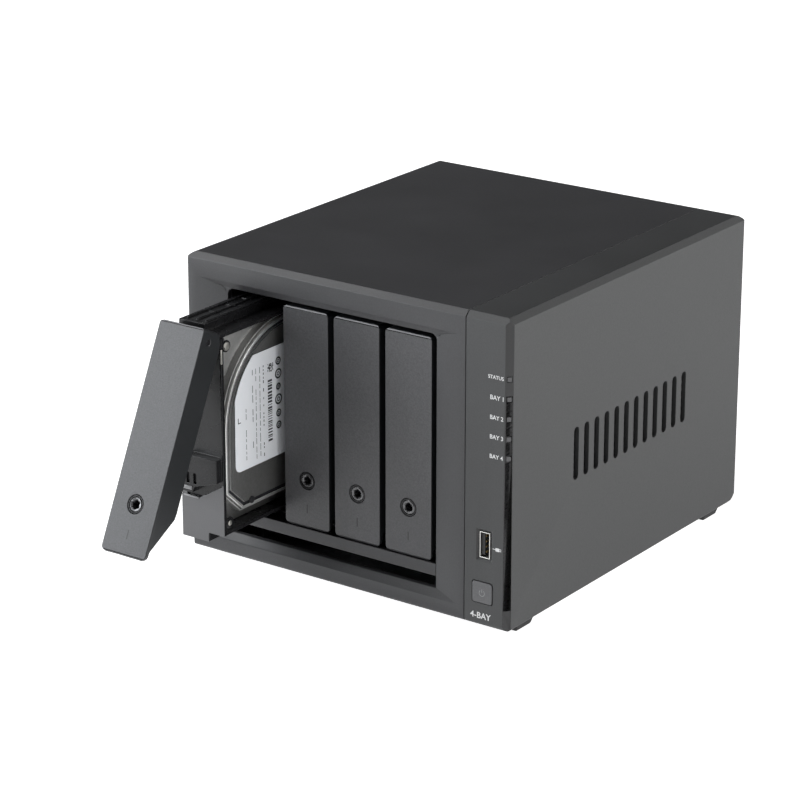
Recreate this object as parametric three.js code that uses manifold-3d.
// Four-bay desktop network attached storage: a two-piece plastic sleeve round a steel drive cage, with
// four drive trays, a rear wall with two fans, and a main board lying under the cage.
// Millimetres, +Z up, +X right, front at -Y. Tray 1 (the leftmost) is drawn out with its handle swung open.
import * as THREE from "three";
import { mergeVertices } from "three/addons/utils/BufferGeometryUtils.js";
import Module from "manifold-3d";

const wasm = await Module();
wasm.setup();

// ---------------------------------------------------------------- driving dimensions
const WIDTH = 199; // overall, along X
const DEPTH = 223; // enclosure without the drawn tray, along Y
const HEIGHT = 166; // overall, feet included
const FOOT_HEIGHT = 5;
const SHELL = 2.5; // wall of the plastic sleeve
const GAP = 0.3; // between pieces that touch
const EDGE = 3; // flat chamfer round the front and the right side
const SEAM_X = 73.6; // the control strip starts right of this seam

const BAYS = 4;
const BAY_PITCH = 31.5;
const BAY_1_X = -56.8; // centre of the leftmost handle
const FACE_Y = -108.5; // front face of a closed handle
const HANDLE_LOW = 30.4;
const HANDLE_TOP = 147.3;
const HANDLE_HALF = 13.95; // half its width
const HANDLE_DEEP = 16;
const HINGE_BACK = 6; // hinge axis behind the front face
const HINGE_Z = 141.3;
const LOCK_Z = 56.2;
const LOCK_R = 4.75;

const DRIVE = { wide: 101.6, long: 147, thick: 26.1 }; // a 3.5 inch drive
const DRIVE_LOW = 38.2; // its lower long side
const TRAY_1_OUT = 60.5; // how far tray 1 is drawn
const HANDLE_1_OPEN = 25.35; // degrees, bottom swung forward

const OPENING = { x0: -74.3, x1: 54.5, z0: 17.1, z1: 149.8 }; // mouth of the bays in the front panel
const RIM = { x0: -90.8, x1: 68.1, z0: 13.3, z1: 153.8 }; // outer edge of its shallow funnel
const SILL_ROUND = 2.5; // radius of the sleeve's bottom front edge
const SHELF = { z0: 23.3, z1: 24.5, lip: 29.9, lip_y: -105.2 }; // between the bays and the air intake
const CAGE = { x0: -76.2, x1: 56.6, z0: 24.9, z1: 152.4, y0: -104.6, y1: 68, steel: 1.1 };
const REAR_Y = 107.2; // front face of the rear panel
const BOARD_Z = 10; // underside of the main board

const FAN = { size: 92, deep: 25, bore: 44, hub: 19, x: [-47.5, 47.5], z: 104, y0: 81.5 };

const FRONT_Y = -DEPTH / 2;
const SIDE_X = WIDTH / 2;
const BODY_LOW = FOOT_HEIGHT;

// ---------------------------------------------------------------- materials
const standard = (color, roughness, metalness = 0) =>
  new THREE.MeshStandardMaterial({ color, roughness, metalness });
const black_abs = standard(0x3a3a3c, 0.55);
const side_abs = standard(0x5c5e60, 0.6);
const handle_abs = standard(0x4a4a4d, 0.6);
const tray_abs = standard(0x2b2b2d, 0.35);
const inner_abs = standard(0x1d1d1f, 0.6);
const steel = standard(0x8e9194, 0.4, 0.9);
const dark_steel = standard(0x4c4e50, 0.5, 0.7);
const drive_metal = standard(0xb9b8b4, 0.35, 0.9);
const circuit_green = standard(0x1f4a33, 0.5);
const rubber = standard(0x1a1a1a, 0.9);
const lock_metal = standard(0x77787a, 0.4, 0.6);
const light_guide = standard(0xd8dcd8, 0.2);
const aluminium = standard(0xc4c7ca, 0.35, 0.9);

// ---------------------------------------------------------------- solids
// A closed three.js geometry as a solid that can be joined and cut.
function solid(geometry) {
  const bare = geometry.clone();
  bare.deleteAttribute("normal");
  bare.deleteAttribute("uv");
  const merged = mergeVertices(bare, 1e-4);
  return new wasm.Manifold(
    new wasm.Mesh({
      numProp: 3,
      vertProperties: merged.attributes.position.array,
      triVerts: new Uint32Array(merged.index.array),
    }),
  );
}

function box(x0, x1, y0, y1, z0, z1) {
  const g = new THREE.BoxGeometry(x1 - x0, y1 - y0, z1 - z0);
  g.translate((x0 + x1) / 2, (y0 + y1) / 2, (z0 + z1) / 2);
  return solid(g);
}

// Turns geometry extruded along +Z so that its outline lies across the named axis.
// "x": outline in (y, z), from x = from. "y": outline in (x, z), ending at y = to. "z": outline in (x, y).
const ACROSS = {
  x: new THREE.Matrix4().makeBasis(
    new THREE.Vector3(0, 1, 0),
    new THREE.Vector3(0, 0, 1),
    new THREE.Vector3(1, 0, 0),
  ),
  y: new THREE.Matrix4().makeBasis(
    new THREE.Vector3(1, 0, 0),
    new THREE.Vector3(0, 0, 1),
    new THREE.Vector3(0, -1, 0),
  ),
  z: new THREE.Matrix4(),
};

function prism(shape, axis, from, to, curveSegments = 6) {
  const g = new THREE.ExtrudeGeometry(shape, {
    depth: to - from,
    bevelEnabled: false,
    curveSegments,
  });
  g.applyMatrix4(ACROSS[axis]);
  if (axis === "x") g.translate(from, 0, 0);
  if (axis === "y") g.translate(0, to, 0);
  if (axis === "z") g.translate(0, 0, from);
  return solid(g);
}

function polygon(points) {
  return new THREE.Shape(points.map(([a, b]) => new THREE.Vector2(a, b)));
}

// A rectangle whose corners are rounded by radii [low-left, low-right, high-right, high-left].
function rounded(a0, a1, b0, b1, radii) {
  const [r0, r1, r2, r3] = Array.isArray(radii) ? radii : [radii, radii, radii, radii];
  const s = new THREE.Shape();
  s.moveTo(a0 + r0, b0);
  s.lineTo(a1 - r1, b0);
  if (r1) s.absarc(a1 - r1, b0 + r1, r1, -Math.PI / 2, 0);
  s.lineTo(a1, b1 - r2);
  if (r2) s.absarc(a1 - r2, b1 - r2, r2, 0, Math.PI / 2);
  s.lineTo(a0 + r3, b1);
  if (r3) s.absarc(a0 + r3, b1 - r3, r3, Math.PI / 2, Math.PI);
  s.lineTo(a0, b0 + r0);
  if (r0) s.absarc(a0 + r0, b0 + r0, r0, Math.PI, Math.PI * 1.5);
  return s;
}

function cylinder(axis, r, from, to, [a, b], segments = 24) {
  const g = new THREE.CylinderGeometry(r, r, to - from, segments);
  g.translate(0, (from + to) / 2, 0);
  if (axis === "y") g.translate(a, 0, b);
  if (axis === "z") g.rotateX(Math.PI / 2).translate(a, b, 0);
  if (axis === "x") g.rotateZ(-Math.PI / 2).translate(0, a, b);
  return solid(g);
}

const join = (...parts) => parts.flat().reduce((a, b) => a.add(b));
const cut = (body, ...tools) => tools.flat().reduce((a, b) => a.subtract(b), body);

// A four-sided funnel between a rectangle at y0 and another at y1.
function funnel(outer, y0, inner, y1) {
  const corners = ({ x0, x1, z0, z1 }, y) => [
    [x0, y, z0],
    [x1, y, z0],
    [x1, y, z1],
    [x0, y, z1],
  ];
  const p = [...corners(outer, y0), ...corners(inner, y1)];
  const faces = [[0, 1, 2, 3], [7, 6, 5, 4], [1, 0, 4, 5], [2, 1, 5, 6], [3, 2, 6, 7], [0, 3, 7, 4]];
  const g = new THREE.BufferGeometry();
  g.setAttribute("position", new THREE.Float32BufferAttribute(p.flat(), 3));
  g.setIndex(faces.flatMap(([a, b, c, d]) => [a, b, c, a, c, d]));
  return solid(g);
}

function mesh(name, body, material) {
  const m = body.getMesh();
  const g = new THREE.BufferGeometry();
  const positions = new Float32Array(m.numVert * 3);
  for (let i = 0; i < m.numVert; i++) {
    positions.set(m.vertProperties.subarray(i * m.numProp, i * m.numProp + 3), i * 3);
  }
  g.setAttribute("position", new THREE.BufferAttribute(positions, 3));
  g.setIndex(new THREE.BufferAttribute(m.triVerts, 1));
  g.computeVertexNormals();
  const made = new THREE.Mesh(g, material);
  made.name = name;
  return made;
}

// ---------------------------------------------------------------- the sleeve
// The whole outer form, still in one piece: chamfered front and right edges, rounded left corners.
function outer_form() {
  const back_y = DEPTH / 2;
  const front_view = new THREE.Shape();
  front_view.moveTo(-SIDE_X + 3, BODY_LOW);
  front_view.lineTo(SIDE_X - 1, BODY_LOW);
  front_view.lineTo(SIDE_X, BODY_LOW + 1);
  front_view.lineTo(SIDE_X, HEIGHT - EDGE);
  front_view.lineTo(SIDE_X - EDGE, HEIGHT);
  front_view.lineTo(-SIDE_X + 7, HEIGHT);
  front_view.absarc(-SIDE_X + 7, HEIGHT - 7, 7, Math.PI / 2, Math.PI);
  front_view.absarc(-SIDE_X + 3, BODY_LOW + 3, 3, Math.PI, Math.PI * 1.5);
  const side_view = new THREE.Shape();
  side_view.moveTo(FRONT_Y + SILL_ROUND, BODY_LOW);
  side_view.absarc(back_y - 9, BODY_LOW + 9, 9, -Math.PI / 2, 0);
  side_view.absarc(back_y - 6, HEIGHT - 6, 6, 0, Math.PI / 2);
  side_view.lineTo(FRONT_Y + EDGE, HEIGHT);
  side_view.lineTo(FRONT_Y, HEIGHT - EDGE);
  side_view.absarc(FRONT_Y + SILL_ROUND, BODY_LOW + SILL_ROUND, SILL_ROUND, Math.PI, Math.PI * 1.5);
  const plan = polygon([
    [-SIDE_X + 2, FRONT_Y],
    [SIDE_X - EDGE, FRONT_Y],
    [SIDE_X, FRONT_Y + EDGE],
    [SIDE_X, back_y - 1.5],
    [SIDE_X - 1.5, back_y],
    [-SIDE_X + 1.5, back_y],
    [-SIDE_X, back_y - 1.5],
    [-SIDE_X, FRONT_Y + 2],
  ]);
  return prism(front_view, "y", FRONT_Y, back_y, 8)
    .intersect(prism(side_view, "x", -SIDE_X, SIDE_X, 8))
    .intersect(prism(plan, "z", 0, HEIGHT));
}

// A row of upright slots with round ends, cut through a side wall.
const VENT = { count: 12, pitch: 9.4, wide: 4.4, z0: 67, z1: 95 };
function side_vents(x0, x1) {
  const slots = [];
  for (let i = 0; i < VENT.count; i++) {
    const y = (i - (VENT.count - 1) / 2) * VENT.pitch;
    slots.push(prism(rounded(y - VENT.wide / 2, y + VENT.wide / 2, VENT.z0, VENT.z1, 2), "x", x0, x1, 1));
  }
  return slots;
}

// Front panel, top and left wall, moulded in one, with the bays' mouth and the intake bar.
function left_shell() {
  const shell_part = outer_form().intersect(
    box(-SIDE_X, SEAM_X - 0.15, FRONT_Y, DEPTH / 2, 0, HEIGHT),
  );
  const hollow = box(-SIDE_X + SHELL, SIDE_X, FRONT_Y + 6, DEPTH / 2 + 1, -1, HEIGHT - SHELL);
  const mouth = box(OPENING.x0, OPENING.x1, FRONT_Y + 2, FRONT_Y + 8, OPENING.z0, OPENING.z1);
  const shelf_x = [OPENING.x0 - 1, OPENING.x1 + 1];
  const shelf = join(
    box(...shelf_x, FACE_Y + 0.2, -89.5, SHELF.z0, SHELF.z1),
    box(...shelf_x, FACE_Y + 0.2, SHELF.lip_y, SHELF.z0, SHELF.lip),
  );
  const body = cut(shell_part, hollow, mouth, funnel(RIM, FRONT_Y - 0.01, OPENING, FACE_Y + 0.01));
  return cut(join(body, shelf), side_vents(-SIDE_X - 1, -SIDE_X + SHELL + 1));
}

const USB = { x0: 82.3, x1: 88.3, z0: 41.3, z1: 54.9 }; // the front port, standing upright
const BUTTON = { x0: 78.6, x1: 90.2, z0: 17.5, z1: 28.5 };
const LEDS = { count: 5, top: 135.8, pitch: 10.1, wide: 2.5, high: 2.6 };

// Square windows through the front-right chamfer, one for each indicator.
function led_windows(grow, from, to) {
  const middle = new THREE.Vector3(SIDE_X - EDGE / 2, FRONT_Y + EDGE / 2, 0);
  return Array.from({ length: LEDS.count }, (_, i) => {
    const g = new THREE.BoxGeometry(LEDS.wide + 2 * grow, to - from, LEDS.high + 2 * grow);
    g.translate(0, (from + to) / 2, 0);
    g.rotateZ(Math.PI / 4);
    g.translate(middle.x, middle.y, LEDS.top - i * LEDS.pitch);
    return solid(g);
  });
}

// Control strip and right wall, which meets the left shell along a seam.
function right_shell() {
  const shell_part = outer_form().intersect(box(SEAM_X + 0.15, SIDE_X, FRONT_Y, DEPTH / 2, 0, HEIGHT));
  const inner_x = SIDE_X - SHELL;
  const hollow = prism(
    polygon([
      [0, FRONT_Y + 3],
      [inner_x - 3, FRONT_Y + 3],
      [inner_x, FRONT_Y + 6],
      [inner_x, DEPTH / 2 + 1],
      [0, DEPTH / 2 + 1],
    ]),
    "z",
    -1,
    HEIGHT - SHELL,
  );
  const floor = box(SEAM_X - 1, SIDE_X + 1, FRONT_Y - 1, DEPTH / 2 + 1, 0, BODY_LOW - 0.01);
  const usb_window = prism(
    rounded(USB.x0 - 0.3, USB.x1 + 0.3, USB.z0 - 0.3, USB.z1 + 0.3, 0.5),
    "y",
    FRONT_Y - 1,
    FRONT_Y + 4,
    2,
  );
  const recess = 1.3;
  const port = { x0: USB.x0 - 0.35, x1: USB.x1 + 0.35, z0: USB.z0 - 0.35, z1: USB.z1 + 0.35 };
  const wide_port = {
    x0: port.x0 - recess,
    x1: port.x1 + recess,
    z0: port.z0 - recess,
    z1: port.z1 + recess,
  };
  const usb_bevel = funnel(wide_port, FRONT_Y - 0.01, port, FRONT_Y + recess);
  const button_hole = prism(
    rounded(BUTTON.x0 - 0.35, BUTTON.x1 + 0.35, BUTTON.z0 - 0.35, BUTTON.z1 + 0.35, 1.5),
    "y",
    FRONT_Y - 1,
    FRONT_Y + 4,
    4,
  );
  return cut(
    shell_part,
    hollow,
    floor,
    usb_window,
    usb_bevel,
    button_hole,
    led_windows(0.05, -3, 8),
    side_vents(SIDE_X - SHELL - 1, SIDE_X + 1),
  );
}

// Sloping black blades behind a row of side vents, in one frame.
function vent_louvre(side) {
  const reach = (VENT.count * VENT.pitch) / 2 + 2;
  const inner = SIDE_X - SHELL - GAP;
  const frame = cut(
    box(inner - 5, inner, -reach, reach, VENT.z0 - 4, VENT.z1 + 4),
    box(inner - 6, inner + 1, -reach + 2, reach - 2, VENT.z0 - 1.5, VENT.z1 + 1.5),
  );
  const blades = [];
  const pitch = 4.2;
  for (let z = VENT.z0 - 1; z < VENT.z1; z += pitch) {
    const outline = polygon([
      [inner - 4.6, z + 3.4],
      [inner - 4.6, z + 4.4],
      [inner - 0.4, z + 1],
      [inner - 0.4, z],
    ]);
    blades.push(prism(outline, "y", -reach + 1, reach - 1));
  }
  const right = join(frame, blades);
  return side === "right" ? right : right.mirror([1, 0, 0]);
}

// ---------------------------------------------------------------- frame inside the sleeve
// Folded sheet steel, open at the front and back, that carries the guides and the backplane.
function drive_cage() {
  const { x0, x1, z0, z1, y0, y1, steel: t } = CAGE;
  const walls = cut(
    box(x0, x1, y0 + 16.5, y1, z0, z1),
    box(x0 + t, x1 - t, y0, y1 + 1, z0 + t, z1 - t),
  );
  const cheeks = [box(x0, x0 + t, y0, y0 + 18, z0 + 2, z1), box(x1 - t, x1, y0, y0 + 18, z0 + 2, z1)];
  const windows = [];
  for (let i = 0; i < 4; i++) {
    const y = -72 + i * 34;
    windows.push(prism(rounded(y, y + 24, 44, 132, 6), "x", x0 - 1, x1 + 1, 2));
  }
  for (let i = 0; i < BAYS; i++) {
    const x = BAY_1_X + i * BAY_PITCH;
    windows.push(box(x - 8, x + 8, -60, -20, z0 - 1, z0 + t + 1));
    windows.push(box(x - 8, x + 8, 0, 40, z0 - 1, z0 + t + 1));
  }
  const legs = [-87, 50].flatMap((y) => [
    box(x0, x0 + 5, y, y + 10, BODY_LOW + 2, z0 + 1),
    box(x1 - 5, x1, y, y + 10, BODY_LOW + 2, z0 + 1),
  ]);
  return cut(join(walls, cheeks, legs), windows);
}

// Moulded runners along the floor or the roof of the cage, with a fin between neighbouring bays.
function guide_rack(at) {
  const low = at === "bottom";
  const base = low ? [26.4, 28] : [149.4, 151];
  const fin = low ? [26.4, 39] : [140.5, 151];
  const runner = low ? [26.4, 30.2] : [147.9, 151];
  const x_left = BAY_1_X - BAY_PITCH / 2;
  const x_right = x_left + BAYS * BAY_PITCH;
  const y0 = -88;
  const y1 = 56;
  const parts = [box(x_left - 1.5, x_right + 1.2, y0, y1, ...base)];
  for (let i = 0; i <= BAYS; i++) {
    const x = x_left + i * BAY_PITCH;
    parts.push(box(x - 0.5, x + 0.5, y0, y1, ...fin));
  }
  for (let i = 0; i < BAYS; i++) {
    const x = BAY_1_X + i * BAY_PITCH;
    parts.push(box(x - 12, x - 10.8, y0, y1, ...runner));
    parts.push(box(x + 0.8, x + 2, y0, y1, ...runner));
  }
  return join(parts);
}

const M2 = { x: [-46, -12], y0: -28, long: 84, wide: 26 };

// Sheet-steel floor of the enclosure: slots for air, two hatches and the main board's posts.
function base_pan() {
  const inner = SIDE_X - SHELL - 0.4;
  const outline = polygon([
    [-inner, FRONT_Y + 6.4],
    [SEAM_X + 0.6, FRONT_Y + 6.4],
    [SEAM_X + 0.6, FRONT_Y + 3.4],
    [inner - 4, FRONT_Y + 3.4],
    [inner, FRONT_Y + 7.4],
    [inner, REAR_Y - GAP],
    [-inner, REAR_Y - GAP],
  ]);
  const plate = prism(outline, "z", BODY_LOW + 0.4, BODY_LOW + 1.6);
  const holes = M2.x.map((x) => box(x - M2.wide / 2, x + M2.wide / 2, M2.y0, M2.y0 + M2.long, 0, 10));
  for (let i = 0; i < 7; i++) {
    const y = -26 + i * 11;
    holes.push(prism(rounded(16, 60, y, y + 4.4, 2), "z", 0, 10, 1));
  }
  const posts = [];
  for (const x of [-64, 84]) {
    for (const y of [-60, 20, 98]) {
      posts.push(cylinder("z", 3, BODY_LOW + 1, BOARD_Z - GAP, [x, y], 8));
    }
  }
  return cut(join(plate, posts), holes);
}

// Screwed hatch over one solid-state drive slot.
function m2_cover(x) {
  const c = 0.3;
  const z0 = BODY_LOW + 0.4;
  const plate = box(x - M2.wide / 2 + c, x + M2.wide / 2 - c, M2.y0 + c, M2.y0 + M2.long - c, z0, z0 + 1.2);
  const ribs = [];
  for (let i = 0; i < 5; i++) {
    const y = M2.y0 + 16 + i * 13;
    ribs.push(box(x - 9, x + 9, y, y + 1.2, z0 + 1, z0 + 2.4));
  }
  return cut(join(plate, ribs), cylinder("z", 1.6, 0, 20, [x, M2.y0 + 5], 12));
}

// A rubber foot that narrows towards the ground. The frustum is drawn along Y and stood upright.
function foot(x, y) {
  const outline = (half_x, half_y) => ({ x0: x - half_x, x1: x + half_x, z0: -y - half_y, z1: -y + half_y });
  return funnel(outline(5.5, 6.5), 0, outline(7, 8), FOOT_HEIGHT + 0.1).rotate([90, 0, 0]);
}

// ---------------------------------------------------------------- rear wall and fans
const PORT = {
  lock_slot: { x: -88, z: 18 },
  reset: { x: -76, z: 18 },
  lan: [-62, -44],
  network: { x0: -30, x1: 8 },
  usb: 20,
  esata: 38,
  dc: 62,
  z0: 12,
};

// Steel back plate with two round fan openings and a row of port cut-outs along the bottom.
function rear_panel() {
  const inner = SIDE_X - SHELL - 0.4;
  const outline = rounded(-inner, inner, BODY_LOW + 2, HEIGHT - SHELL - 0.4, [8, 8, 5, 5]);
  const plate = prism(outline, "y", REAR_Y, REAR_Y + 1.5, 4);
  const holes = FAN.x.map((x) => cylinder("y", FAN.bore, REAR_Y - 1, REAR_Y + 3, [x, FAN.z], 32));
  const { z0 } = PORT;
  for (const x of PORT.lan) holes.push(box(x - 8.3, x + 8.3, REAR_Y - 1, REAR_Y + 3, z0 - 0.3, z0 + 14.1));
  holes.push(box(PORT.network.x0, PORT.network.x1, REAR_Y - 1, REAR_Y + 3, z0 - 0.3, z0 + 15.3));
  holes.push(box(PORT.usb - 3.6, PORT.usb + 3.6, REAR_Y - 1, REAR_Y + 3, z0 - 0.1, z0 + 14.2));
  holes.push(box(PORT.esata - 6.6, PORT.esata + 6.6, REAR_Y - 1, REAR_Y + 3, z0 + 1.2, z0 + 7.4));
  holes.push(cylinder("y", 5.6, REAR_Y - 1, REAR_Y + 3, [PORT.dc, z0 + 7], 24));
  holes.push(cylinder("y", 1.5, REAR_Y - 1, REAR_Y + 3, [PORT.reset.x, PORT.reset.z], 12));
  const slot = PORT.lock_slot;
  const slot_outline = rounded(slot.x - 3.5, slot.x + 3.5, slot.z - 1.6, slot.z + 1.6, 1);
  holes.push(prism(slot_outline, "y", REAR_Y - 1, REAR_Y + 3, 3));
  for (let i = 0; i < 9; i++) {
    const x = -36 + i * 9;
    holes.push(prism(rounded(x - 2.1, x + 2.1, 33, 51, 2), "y", REAR_Y - 1, REAR_Y + 3, 1));
  }
  return cut(plate, holes);
}

// Fan housing: a square ring with a motor mount held by four struts at the outlet side.
function fan_frame(x) {
  const { size, deep, bore, hub, z, y0 } = FAN;
  const h = size / 2;
  const tube = cut(
    prism(rounded(x - h, x + h, z - h, z + h, 4), "y", y0, y0 + deep, 3),
    cylinder("y", bore - 0.4, y0 - 1, y0 + deep + 1, [x, z], 32),
  );
  const corner_holes = [];
  for (const side of [-1, 1]) {
    corner_holes.push(cylinder("y", 2.2, y0 - 1, y0 + deep + 1, [x + side * (h - 5), z + h - 5], 8));
    corner_holes.push(cylinder("y", 2.2, y0 - 1, y0 + deep + 1, [x + side * (h - 5), z - h + 5], 8));
  }
  const mount = cylinder("y", hub, y0 + deep - 3, y0 + deep, [x, z], 24);
  const struts = [0, 1].map((i) => {
    const bar = new THREE.BoxGeometry(2 * bore, 2.4, 4);
    bar.rotateY(Math.PI / 4 + (i * Math.PI) / 2);
    bar.translate(x, y0 + deep - 1.4, z);
    return solid(bar);
  });
  return join(cut(tube, corner_holes), mount, struts);
}

// Rotor: a cup over the motor with seven curved blades.
function fan_rotor() {
  const { bore, hub } = FAN;
  const y0 = 2;
  const y1 = 20.5;
  const cup = cylinder("y", hub, y0, y1, [0, 0], 24);
  const blade = new THREE.Shape();
  blade.moveTo(-9, 0);
  blade.quadraticCurveTo(0, 3.2, 9, 0);
  blade.lineTo(9, 1.2);
  blade.quadraticCurveTo(0, 4.4, -9, 1.2);
  const blades = Array.from({ length: 7 }, (_, i) => {
    const g = new THREE.ExtrudeGeometry(blade, {
      depth: bore - 2.4 - hub + 3,
      bevelEnabled: false,
      curveSegments: 4,
    });
    g.rotateZ(-0.9);
    g.translate(0, (y0 + y1) / 2, hub - 3);
    g.rotateY((i * 2 * Math.PI) / 7);
    return solid(g);
  });
  return join(cup, blades);
}

// Finger guard: three wire rings tied by four arms that bend in to the screw holes.
function fan_guard(x) {
  const { z, size } = FAN;
  const y = REAR_Y + 1.5 + GAP;
  const rings = [14, 28, 42].map((r) =>
    cut(
      cylinder("y", r + 0.8, y, y + 1.6, [x, z], 18),
      cylinder("y", r - 0.8, y - 1, y + 3, [x, z], 18),
    ),
  );
  const reach = (size / 2 - 5) * Math.SQRT2;
  const arms = [0, 1].map((i) => {
    const bar = new THREE.BoxGeometry(2 * reach, 1.6, 1.6);
    bar.rotateY(Math.PI / 4 + (i * Math.PI) / 2);
    bar.translate(x, y + 0.8, z);
    return solid(bar);
  });
  return join(rings, arms);
}

// ---------------------------------------------------------------- electronics
function mainboard() {
  const plate = prism(rounded(-70, 90, -66, 104, 2), "z", BOARD_Z, BOARD_Z + 1.6, 2);
  const holes = [];
  for (const x of [-64, 84]) {
    for (const y of [-60, 20, 98]) {
      holes.push(cylinder("z", 1.7, 0, 20, [x, y], 8));
    }
  }
  const leg_notch = box(CAGE.x1 - 6, CAGE.x1 + 1, 49, 61, 0, 20);
  return cut(plate, holes, leg_notch);
}

// Finned block over the processor, between the main board and the cage floor.
function heatsink() {
  const z0 = BOARD_Z + 1.6 + GAP;
  const base = box(-22, 22, -20, 30, z0, z0 + 2.4);
  const fins = [];
  for (let i = 0; i < 12; i++) {
    const x = -21.5 + i * 3.8;
    fins.push(box(x, x + 1.1, -20, 30, z0 + 2, 24.3));
  }
  return join(base, fins);
}

// Upright memory module in its socket, at the right of the cage.
const MEMORY = { x: 66, y0: -52, long: 69.6, z0: 16 };
function memory_socket() {
  const { x, y0, long } = MEMORY;
  const z0 = BOARD_Z + 1.6 + GAP;
  return cut(
    box(x - 3, x + 3, y0 - 3, y0 + long + 3, z0, MEMORY.z0 + 3),
    box(x - 0.9, x + 0.9, y0 - 0.4, y0 + long + 0.4, MEMORY.z0 - 0.4, MEMORY.z0 + 4),
  );
}
function memory_module() {
  const { x, y0, long, z0 } = MEMORY;
  const card = box(x - 0.5, x + 0.5, y0, y0 + long, z0, z0 + 30);
  const chips = [];
  for (let i = 0; i < 4; i++) {
    const y = y0 + 6 + i * 16;
    chips.push(box(x - 1.7, x + 1.7, y, y + 10, z0 + 12, z0 + 24));
  }
  return join(card, chips);
}

// Board across the back of the cage that the drives plug into, cut away for air.
function backplane_board() {
  const y0 = CAGE.y1 - 6;
  const plate = box(CAGE.x0 + 2, CAGE.x1 - 2, y0, y0 + 1.6, 36, 104);
  const windows = [];
  for (let i = 0; i < BAYS; i++) {
    const x = BAY_1_X + i * BAY_PITCH;
    windows.push(prism(rounded(x - 9, x + 9, 84, 100, 2), "y", y0 - 1, y0 + 3, 2));
    windows.push(prism(rounded(x + 3, x + 13, 42, 78, 2), "y", y0 - 1, y0 + 3, 2));
  }
  return cut(plate, windows);
}

// The socket that one drive's data and power blades slide into.
function sata_socket() {
  const y1 = CAGE.y1 - 6 - GAP;
  const y0 = y1 - 3.2;
  const data_key = box(-8.2, -5.8, y0 - 1, y0 + 2, 69, 78);
  const power_key = box(-8.2, -5.8, y0 - 1, y0 + 2, 48, 66);
  return cut(box(-10, -4, y0, y1, 46, 80), power_key, data_key);
}

// Indicator light guide: five short rods that end in the chamfer, on one upright bar.
function light_pipe() {
  const prongs = led_windows(-0.15, -0.1, 5);
  const bar = new THREE.BoxGeometry(2, 2.4, LEDS.pitch * (LEDS.count - 1) + 8);
  bar.rotateZ(Math.PI / 4);
  const inset = EDGE / 2 + 5.4 / Math.SQRT2;
  bar.translate(SIDE_X - inset, FRONT_Y + inset, LEDS.top - (LEDS.pitch * (LEDS.count - 1)) / 2);
  return join(prongs, solid(bar));
}

// Small upright board behind the control strip, which carries the port and the switch.
function front_board() {
  return box(76, 91, -94.5, -92.9, 12, 140);
}

// Folded steel shell of an upright USB socket with its tongue along the left wall.
function front_usb() {
  const { x0, x1, z0, z1 } = USB;
  const y0 = FRONT_Y + 0.5;
  const y1 = -95;
  const sheet = 0.4;
  const mouth = box(x0 + sheet, x1 - sheet, y0 - 1, y1 - 1, z0 + sheet, z1 - sheet);
  return cut(box(x0, x1, y0, y1, z0, z1), mouth);
}
function front_usb_tongue() {
  return box(USB.x0 + 0.7, USB.x0 + 2.5, FRONT_Y + 1.5, -96.3, USB.z0 + 1.3, USB.z1 - 1.3);
}

// Power button cap, with a stem to the switch on the board behind.
function power_button() {
  const { x0, x1, z0, z1 } = BUTTON;
  const cap = prism(rounded(x0, x1, z0, z1, 1.3), "y", FRONT_Y - 0.4, FRONT_Y + 4, 4);
  const flange = box(x0 - 1.2, x1 + 1.2, FRONT_Y + 4, FRONT_Y + 5.2, z0 - 1.2, z1 + 1.2);
  const stem = cylinder("y", 2, FRONT_Y + 5, -96, [(x0 + x1) / 2, (z0 + z1) / 2], 16);
  return join(cap, flange, stem);
}

// Recessed pin pushed with a paper clip.
function reset_button() {
  const { x, z } = PORT.reset;
  return join(
    cylinder("y", 1.2, REAR_Y - 5, REAR_Y + 0.6, [x, z], 12),
    cylinder("y", 2.4, REAR_Y - 6, REAR_Y - 4, [x, z], 16),
  );
}

// ---------------------------------------------------------------- rear sockets
function lan_port(x) {
  const { z0 } = PORT;
  const y1 = REAR_Y + 2.4;
  const block = box(x - 8, x + 8, y1 - 21, y1, z0, z0 + 13.6);
  const mouth = box(x - 5.9, x + 5.9, y1 - 12, y1 + 1, z0 + 1.6, z0 + 8.8);
  const latch = box(x - 3, x + 3, y1 - 12, y1 + 1, z0 + 8, z0 + 11);
  return cut(block, mouth, latch);
}
function rear_usb() {
  const x = PORT.usb;
  const y1 = REAR_Y + 1.8;
  const z = PORT.z0;
  const shell = cut(
    box(x - 3.2, x + 3.2, y1 - 17, y1, z + 0.2, z + 13.8),
    box(x - 2.8, x + 2.8, y1 - 15, y1 + 1, z + 0.6, z + 13.4),
  );
  return join(shell, box(x - 2.1, x - 0.4, y1 - 16, y1 - 1.2, z + 1.8, z + 12.2));
}
function esata_port() {
  const x = PORT.esata;
  const y1 = REAR_Y + 1.8;
  const z = PORT.z0 + 1.5;
  const shell = cut(
    box(x - 6.3, x + 6.3, y1 - 15, y1, z, z + 5.6),
    box(x - 5.7, x + 5.7, y1 - 12, y1 + 1, z + 0.6, z + 5),
  );
  return join(shell, box(x - 4.6, x + 4.6, y1 - 13, y1 - 1.4, z + 2.3, z + 3.3));
}
function dc_jack() {
  const x = PORT.dc;
  const z = PORT.z0 + 7;
  const y1 = REAR_Y + 1.5;
  const block = join(
    box(x - 7, x + 7, y1 - 18, REAR_Y - GAP, PORT.z0, PORT.z0 + 14),
    cylinder("y", 5.3, y1 - 18, y1, [x, z], 24),
  );
  const core = cylinder("y", 1, y1 - 14, y1 - 1.5, [x, z], 12);
  return join(cut(block, cylinder("y", 3.8, y1 - 13, y1 + 1, [x, z], 24)), core);
}
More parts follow.
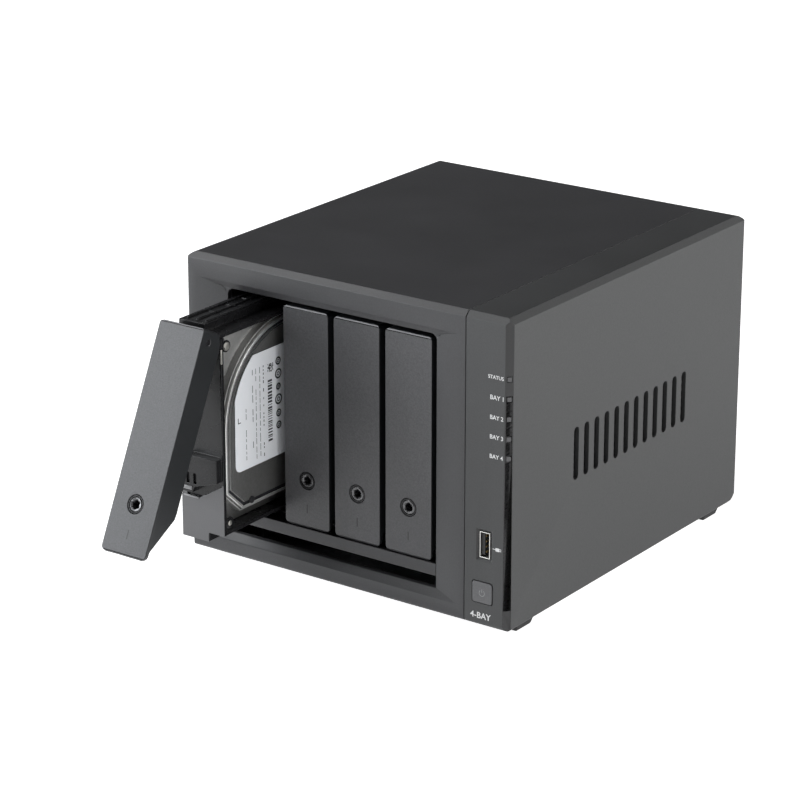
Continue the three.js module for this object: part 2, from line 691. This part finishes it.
function network_cover() {
  const { x0, x1 } = PORT.network;
  const c = 0.3;
  const { z0 } = PORT;
  const plate = box(x0 + c, x1 - c, REAR_Y, REAR_Y + 1.5, z0, z0 + 15);
  const grip = prism(rounded(x0 + 9, x1 - 9, z0 + 5, z0 + 10, 2), "y", REAR_Y + 1, REAR_Y + 2.4, 3);
  return join(plate, grip);
}

// ---------------------------------------------------------------- drive trays
// Each function draws in a bay's own frame: u = x from the bay's centre, v = y behind the handle's face.
const WALL_V = 16.3; // front of the tray's own front wall
const TRAY_END_V = 168;
const DRIVE_V = 19.3;
const DRIVE_U = -13.4; // left face of the drive

function tray() {
  const wall_outline = polygon([
    [-14.1, 30.7],
    [2.9, 30.7],
    [2.9, 35.6],
    [13.1, 35.6],
    [13.1, 140],
    [3, 140],
    [3, 146],
    [-13.3, 146],
    [-13.3, 53.4],
    [-14.1, 53.4],
  ]);
  const wall = prism(wall_outline, "y", WALL_V, WALL_V + 2);
  const window_outline = polygon([
    [-10.5, 53.4],
    [-2.3, 53.4],
    [11.9, 62],
    [11.9, 133],
    [-10.5, 133],
  ]);
  const catch_outline = polygon([
    [-10.6, 57],
    [-4, 57],
    [-2.3, 60.5],
    [12, 65],
    [12, 77],
    [-8.3, 77],
    [-10.6, 72],
  ]);
  const catch_block = cut(
    prism(catch_outline, "y", WALL_V - 4.1, WALL_V + 2),
    box(-7.4, -5.6, WALL_V - 5, WALL_V - 2.5, 62, 67.6),
    box(-3, -1.2, WALL_V - 5, WALL_V - 2.5, 62, 67.6),
  );
  const low = DRIVE_LOW - GAP;
  const high = DRIVE_LOW + DRIVE.wide + GAP;
  const rails = [
    box(-14.1, 13.1, WALL_V, TRAY_END_V, low - 2, low),
    box(11.9, 13.1, WALL_V, TRAY_END_V - 20, low - 2, low - 0.3),
    box(-14.1, -12.7, WALL_V, TRAY_END_V, 30.7, low),
    box(1.5, 2.9, WALL_V, TRAY_END_V, 30.7, low),
    box(-14.1, 12.4, WALL_V, TRAY_END_V, high, high + 1.8),
    box(-13.3, -11.9, WALL_V, TRAY_END_V, high, 146),
    box(1.6, 3, WALL_V, TRAY_END_V, high, 146),
    box(-13.3, 3, WALL_V, TRAY_END_V, 144.6, 146),
  ];
  const side_plate = cut(
    box(-14.6, -13.7, WALL_V + 1, TRAY_END_V, low - 1, high + 1),
    box(-15, -13, WALL_V + 14, WALL_V + 66, low + 12, high - 12),
    box(-15, -13, WALL_V + 78, TRAY_END_V - 12, low + 12, high - 12),
  );
  const lugs = [-1, 1].map((side) => {
    const near = side < 0 ? -11.9 : 8.4;
    const arm = box(near, near + 3.5, HINGE_BACK, WALL_V + 1, HINGE_Z - 2.9, HINGE_Z - 0.2);
    const eye = cylinder("x", 2.9, near, near + 3.5, [HINGE_BACK, HINGE_Z], 16);
    const pin_from = side < 0 ? -13.7 : 11;
    return join(arm, eye, cylinder("x", 1.5, pin_from, pin_from + 2.7, [HINGE_BACK, HINGE_Z], 16));
  });
  const front = join(cut(wall, prism(window_outline, "y", WALL_V - 1, WALL_V + 1.2)), catch_block);
  const tabs = box(2.9, 11.9, WALL_V, WALL_V + 2, HINGE_Z - 2.9, HINGE_Z - 0.2);
  return join(front, tabs, rails, side_plate, lugs);
}

// Pull handle: a front plate with two cheeks, hung on the tray's two hinge pins near the top.
function handle() {
  const cheek_profile = polygon([
    [0.9, HANDLE_LOW],
    [2.1, HANDLE_LOW + 0.6],
    [2.6, HANDLE_LOW + 5],
    [15.6, HANDLE_LOW + 23],
    [HANDLE_DEEP, HANDLE_LOW + 26],
    [HANDLE_DEEP, HINGE_Z - 3],
    [15.6, HINGE_Z + 0.7],
    [12, HANDLE_TOP],
    [0.9, HANDLE_TOP],
    [0, HANDLE_TOP - 0.9],
    [0, HANDLE_LOW + 0.9],
  ]);
  const h = HANDLE_HALF;
  const body = prism(cheek_profile, "x", -h, h).intersect(
    prism(rounded(-h, h, HANDLE_LOW, HANDLE_TOP, [3, 3, 2, 2]), "y", -1, HANDLE_DEEP + 1, 4),
  );
  const plate = 2.4;
  const hollow = box(-12.1, 12.1, plate, 8, HANDLE_LOW + 6, HANDLE_TOP - 2.8);
  const open_back = box(-12.1, 12.1, 7.9, 20, HANDLE_LOW + 6, HANDLE_TOP + 1);
  const boss = cylinder("y", 6.6, plate - 0.5, 9.5, [0, LOCK_Z], 16);
  const bore = cylinder("y", LOCK_R + 0.15, -1, 12, [0, LOCK_Z], 24);
  const pin_holes = cylinder("x", 1.6, -h - 1, h + 1, [HINGE_BACK, HINGE_Z], 16);
  const rib = box(-12.2, 12.2, plate - 0.5, 6, 95, 96.5);
  return cut(join(cut(body, hollow, open_back), boss, rib), bore, pin_holes);
}

// Lock barrel with its key recess at the front and a cam at the back.
function lock() {
  const barrel = cylinder("y", LOCK_R, 0.15, 11.2, [0, LOCK_Z], 24);
  const groove = cut(
    cylinder("y", LOCK_R + 1, -0.5, 0.75, [0, LOCK_Z], 16),
    cylinder("y", 3.7, -1, 2, [0, LOCK_Z], 16),
  );
  const recess = cylinder("y", 2.1, -1, 6, [0, LOCK_Z], 6);
  const cam = box(-2.2, 2.2, 9.8, 11.2, LOCK_Z, LOCK_Z + 7.4);
  return join(cut(barrel, groove, recess), cam);
}

// Sealed 3.5 inch drive on its long side, cover to the right, connectors at the back.
function hard_drive() {
  const { wide, long, thick } = DRIVE;
  const outline = polygon([
    [DRIVE_V, DRIVE_LOW + 6],
    [DRIVE_V + 4, DRIVE_LOW],
    [DRIVE_V + long, DRIVE_LOW],
    [DRIVE_V + long, DRIVE_LOW + wide],
    [DRIVE_V + 4, DRIVE_LOW + wide],
    [DRIVE_V, DRIVE_LOW + wide - 6],
  ]);
  const body = prism(outline, "x", DRIVE_U, DRIVE_U + thick);
  const end = DRIVE_V + long;
  const notch = box(DRIVE_U + 1, DRIVE_U + 10, end - 4.5, end + 1, DRIVE_LOW + 6, DRIVE_LOW + 44);
  return cut(body, notch);
}

// ---------------------------------------------------------------- assembly
const enclosure = new THREE.Group();
const add = (name, body, material) => enclosure.add(mesh(name, body, material));

add("left_shell", left_shell(), black_abs);
add("right_shell", right_shell(), side_abs);
add("left_vent_louvre", vent_louvre("left"), inner_abs);
add("right_vent_louvre", vent_louvre("right"), inner_abs);
add("drive_cage", drive_cage(), steel);
add("guide_rack_bottom", guide_rack("bottom"), inner_abs);
add("guide_rack_top", guide_rack("top"), inner_abs);
add("base_pan", base_pan(), dark_steel);
M2.x.forEach((x, i) => add(`ssd_hatch_${i + 1}`, m2_cover(x), inner_abs));
add("rear_panel", rear_panel(), dark_steel);
add("mainboard", mainboard(), circuit_green);
add("processor_heatsink", heatsink(), aluminium);
add("memory_socket", memory_socket(), inner_abs);
add("memory_module", memory_module(), circuit_green);
add("backplane_board", backplane_board(), circuit_green);
add("light_pipe", light_pipe(), light_guide);
add("front_board", front_board(), circuit_green);
add("front_usb_shell", front_usb(), steel);
add("front_usb_tongue", front_usb_tongue(), inner_abs);
add("power_button", power_button(), side_abs);
add("reset_button", reset_button(), inner_abs);
PORT.lan.forEach((x, i) => add(`lan_port_${i + 1}`, lan_port(x), steel));
add("rear_usb_port", rear_usb(), steel);
add("esata_port", esata_port(), steel);
add("power_inlet", dc_jack(), inner_abs);
add("network_slot_cover", network_cover(), dark_steel);

["left", "right"].forEach((side, i) => {
  add(`fan_frame_${side}`, fan_frame(FAN.x[i]), inner_abs);
  add(`fan_guard_${side}`, fan_guard(FAN.x[i]), steel);
  const rotor = mesh(`fan_rotor_${side}`, fan_rotor(), inner_abs);
  rotor.position.set(FAN.x[i], FAN.y0, FAN.z);
  enclosure.add(rotor);
});

const FOOT_AT = { x: 90, y: 91 };
for (const [end, y] of [["front", -FOOT_AT.y], ["rear", FOOT_AT.y]]) {
  add(`foot_${end}_left`, foot(-FOOT_AT.x, y), rubber);
  add(`foot_${end}_right`, foot(FOOT_AT.x, y), rubber);
}

for (let i = 0; i < BAYS; i++) {
  const bay = new THREE.Group();
  const drawn = i === 0 ? TRAY_1_OUT : 0;
  bay.position.set(BAY_1_X + i * BAY_PITCH, FACE_Y - drawn, 0);
  bay.add(mesh(`tray_${i + 1}`, tray(), tray_abs));
  bay.add(mesh(`hard_drive_${i + 1}`, hard_drive(), drive_metal));
  const hinge = new THREE.Group();
  hinge.position.set(0, HINGE_BACK, HINGE_Z);
  hinge.rotation.x = i === 0 ? -THREE.MathUtils.degToRad(HANDLE_1_OPEN) : 0;
  for (const piece of [
    mesh(`handle_${i + 1}`, handle(), handle_abs),
    mesh(`lock_${i + 1}`, lock(), lock_metal),
  ]) {
    piece.position.set(0, -HINGE_BACK, -HINGE_Z);
    hinge.add(piece);
  }
  bay.add(hinge);
  enclosure.add(bay);
  const socket = mesh(`sata_socket_${i + 1}`, sata_socket(), inner_abs);
  socket.position.x = BAY_1_X + i * BAY_PITCH;
  enclosure.add(socket);
}

// The origin is the centre of the floor area that the object covers with tray 1 drawn out.
const covered = new THREE.Box3().setFromObject(enclosure);
enclosure.position.y = -(covered.min.y + covered.max.y) / 2;

export default enclosure;
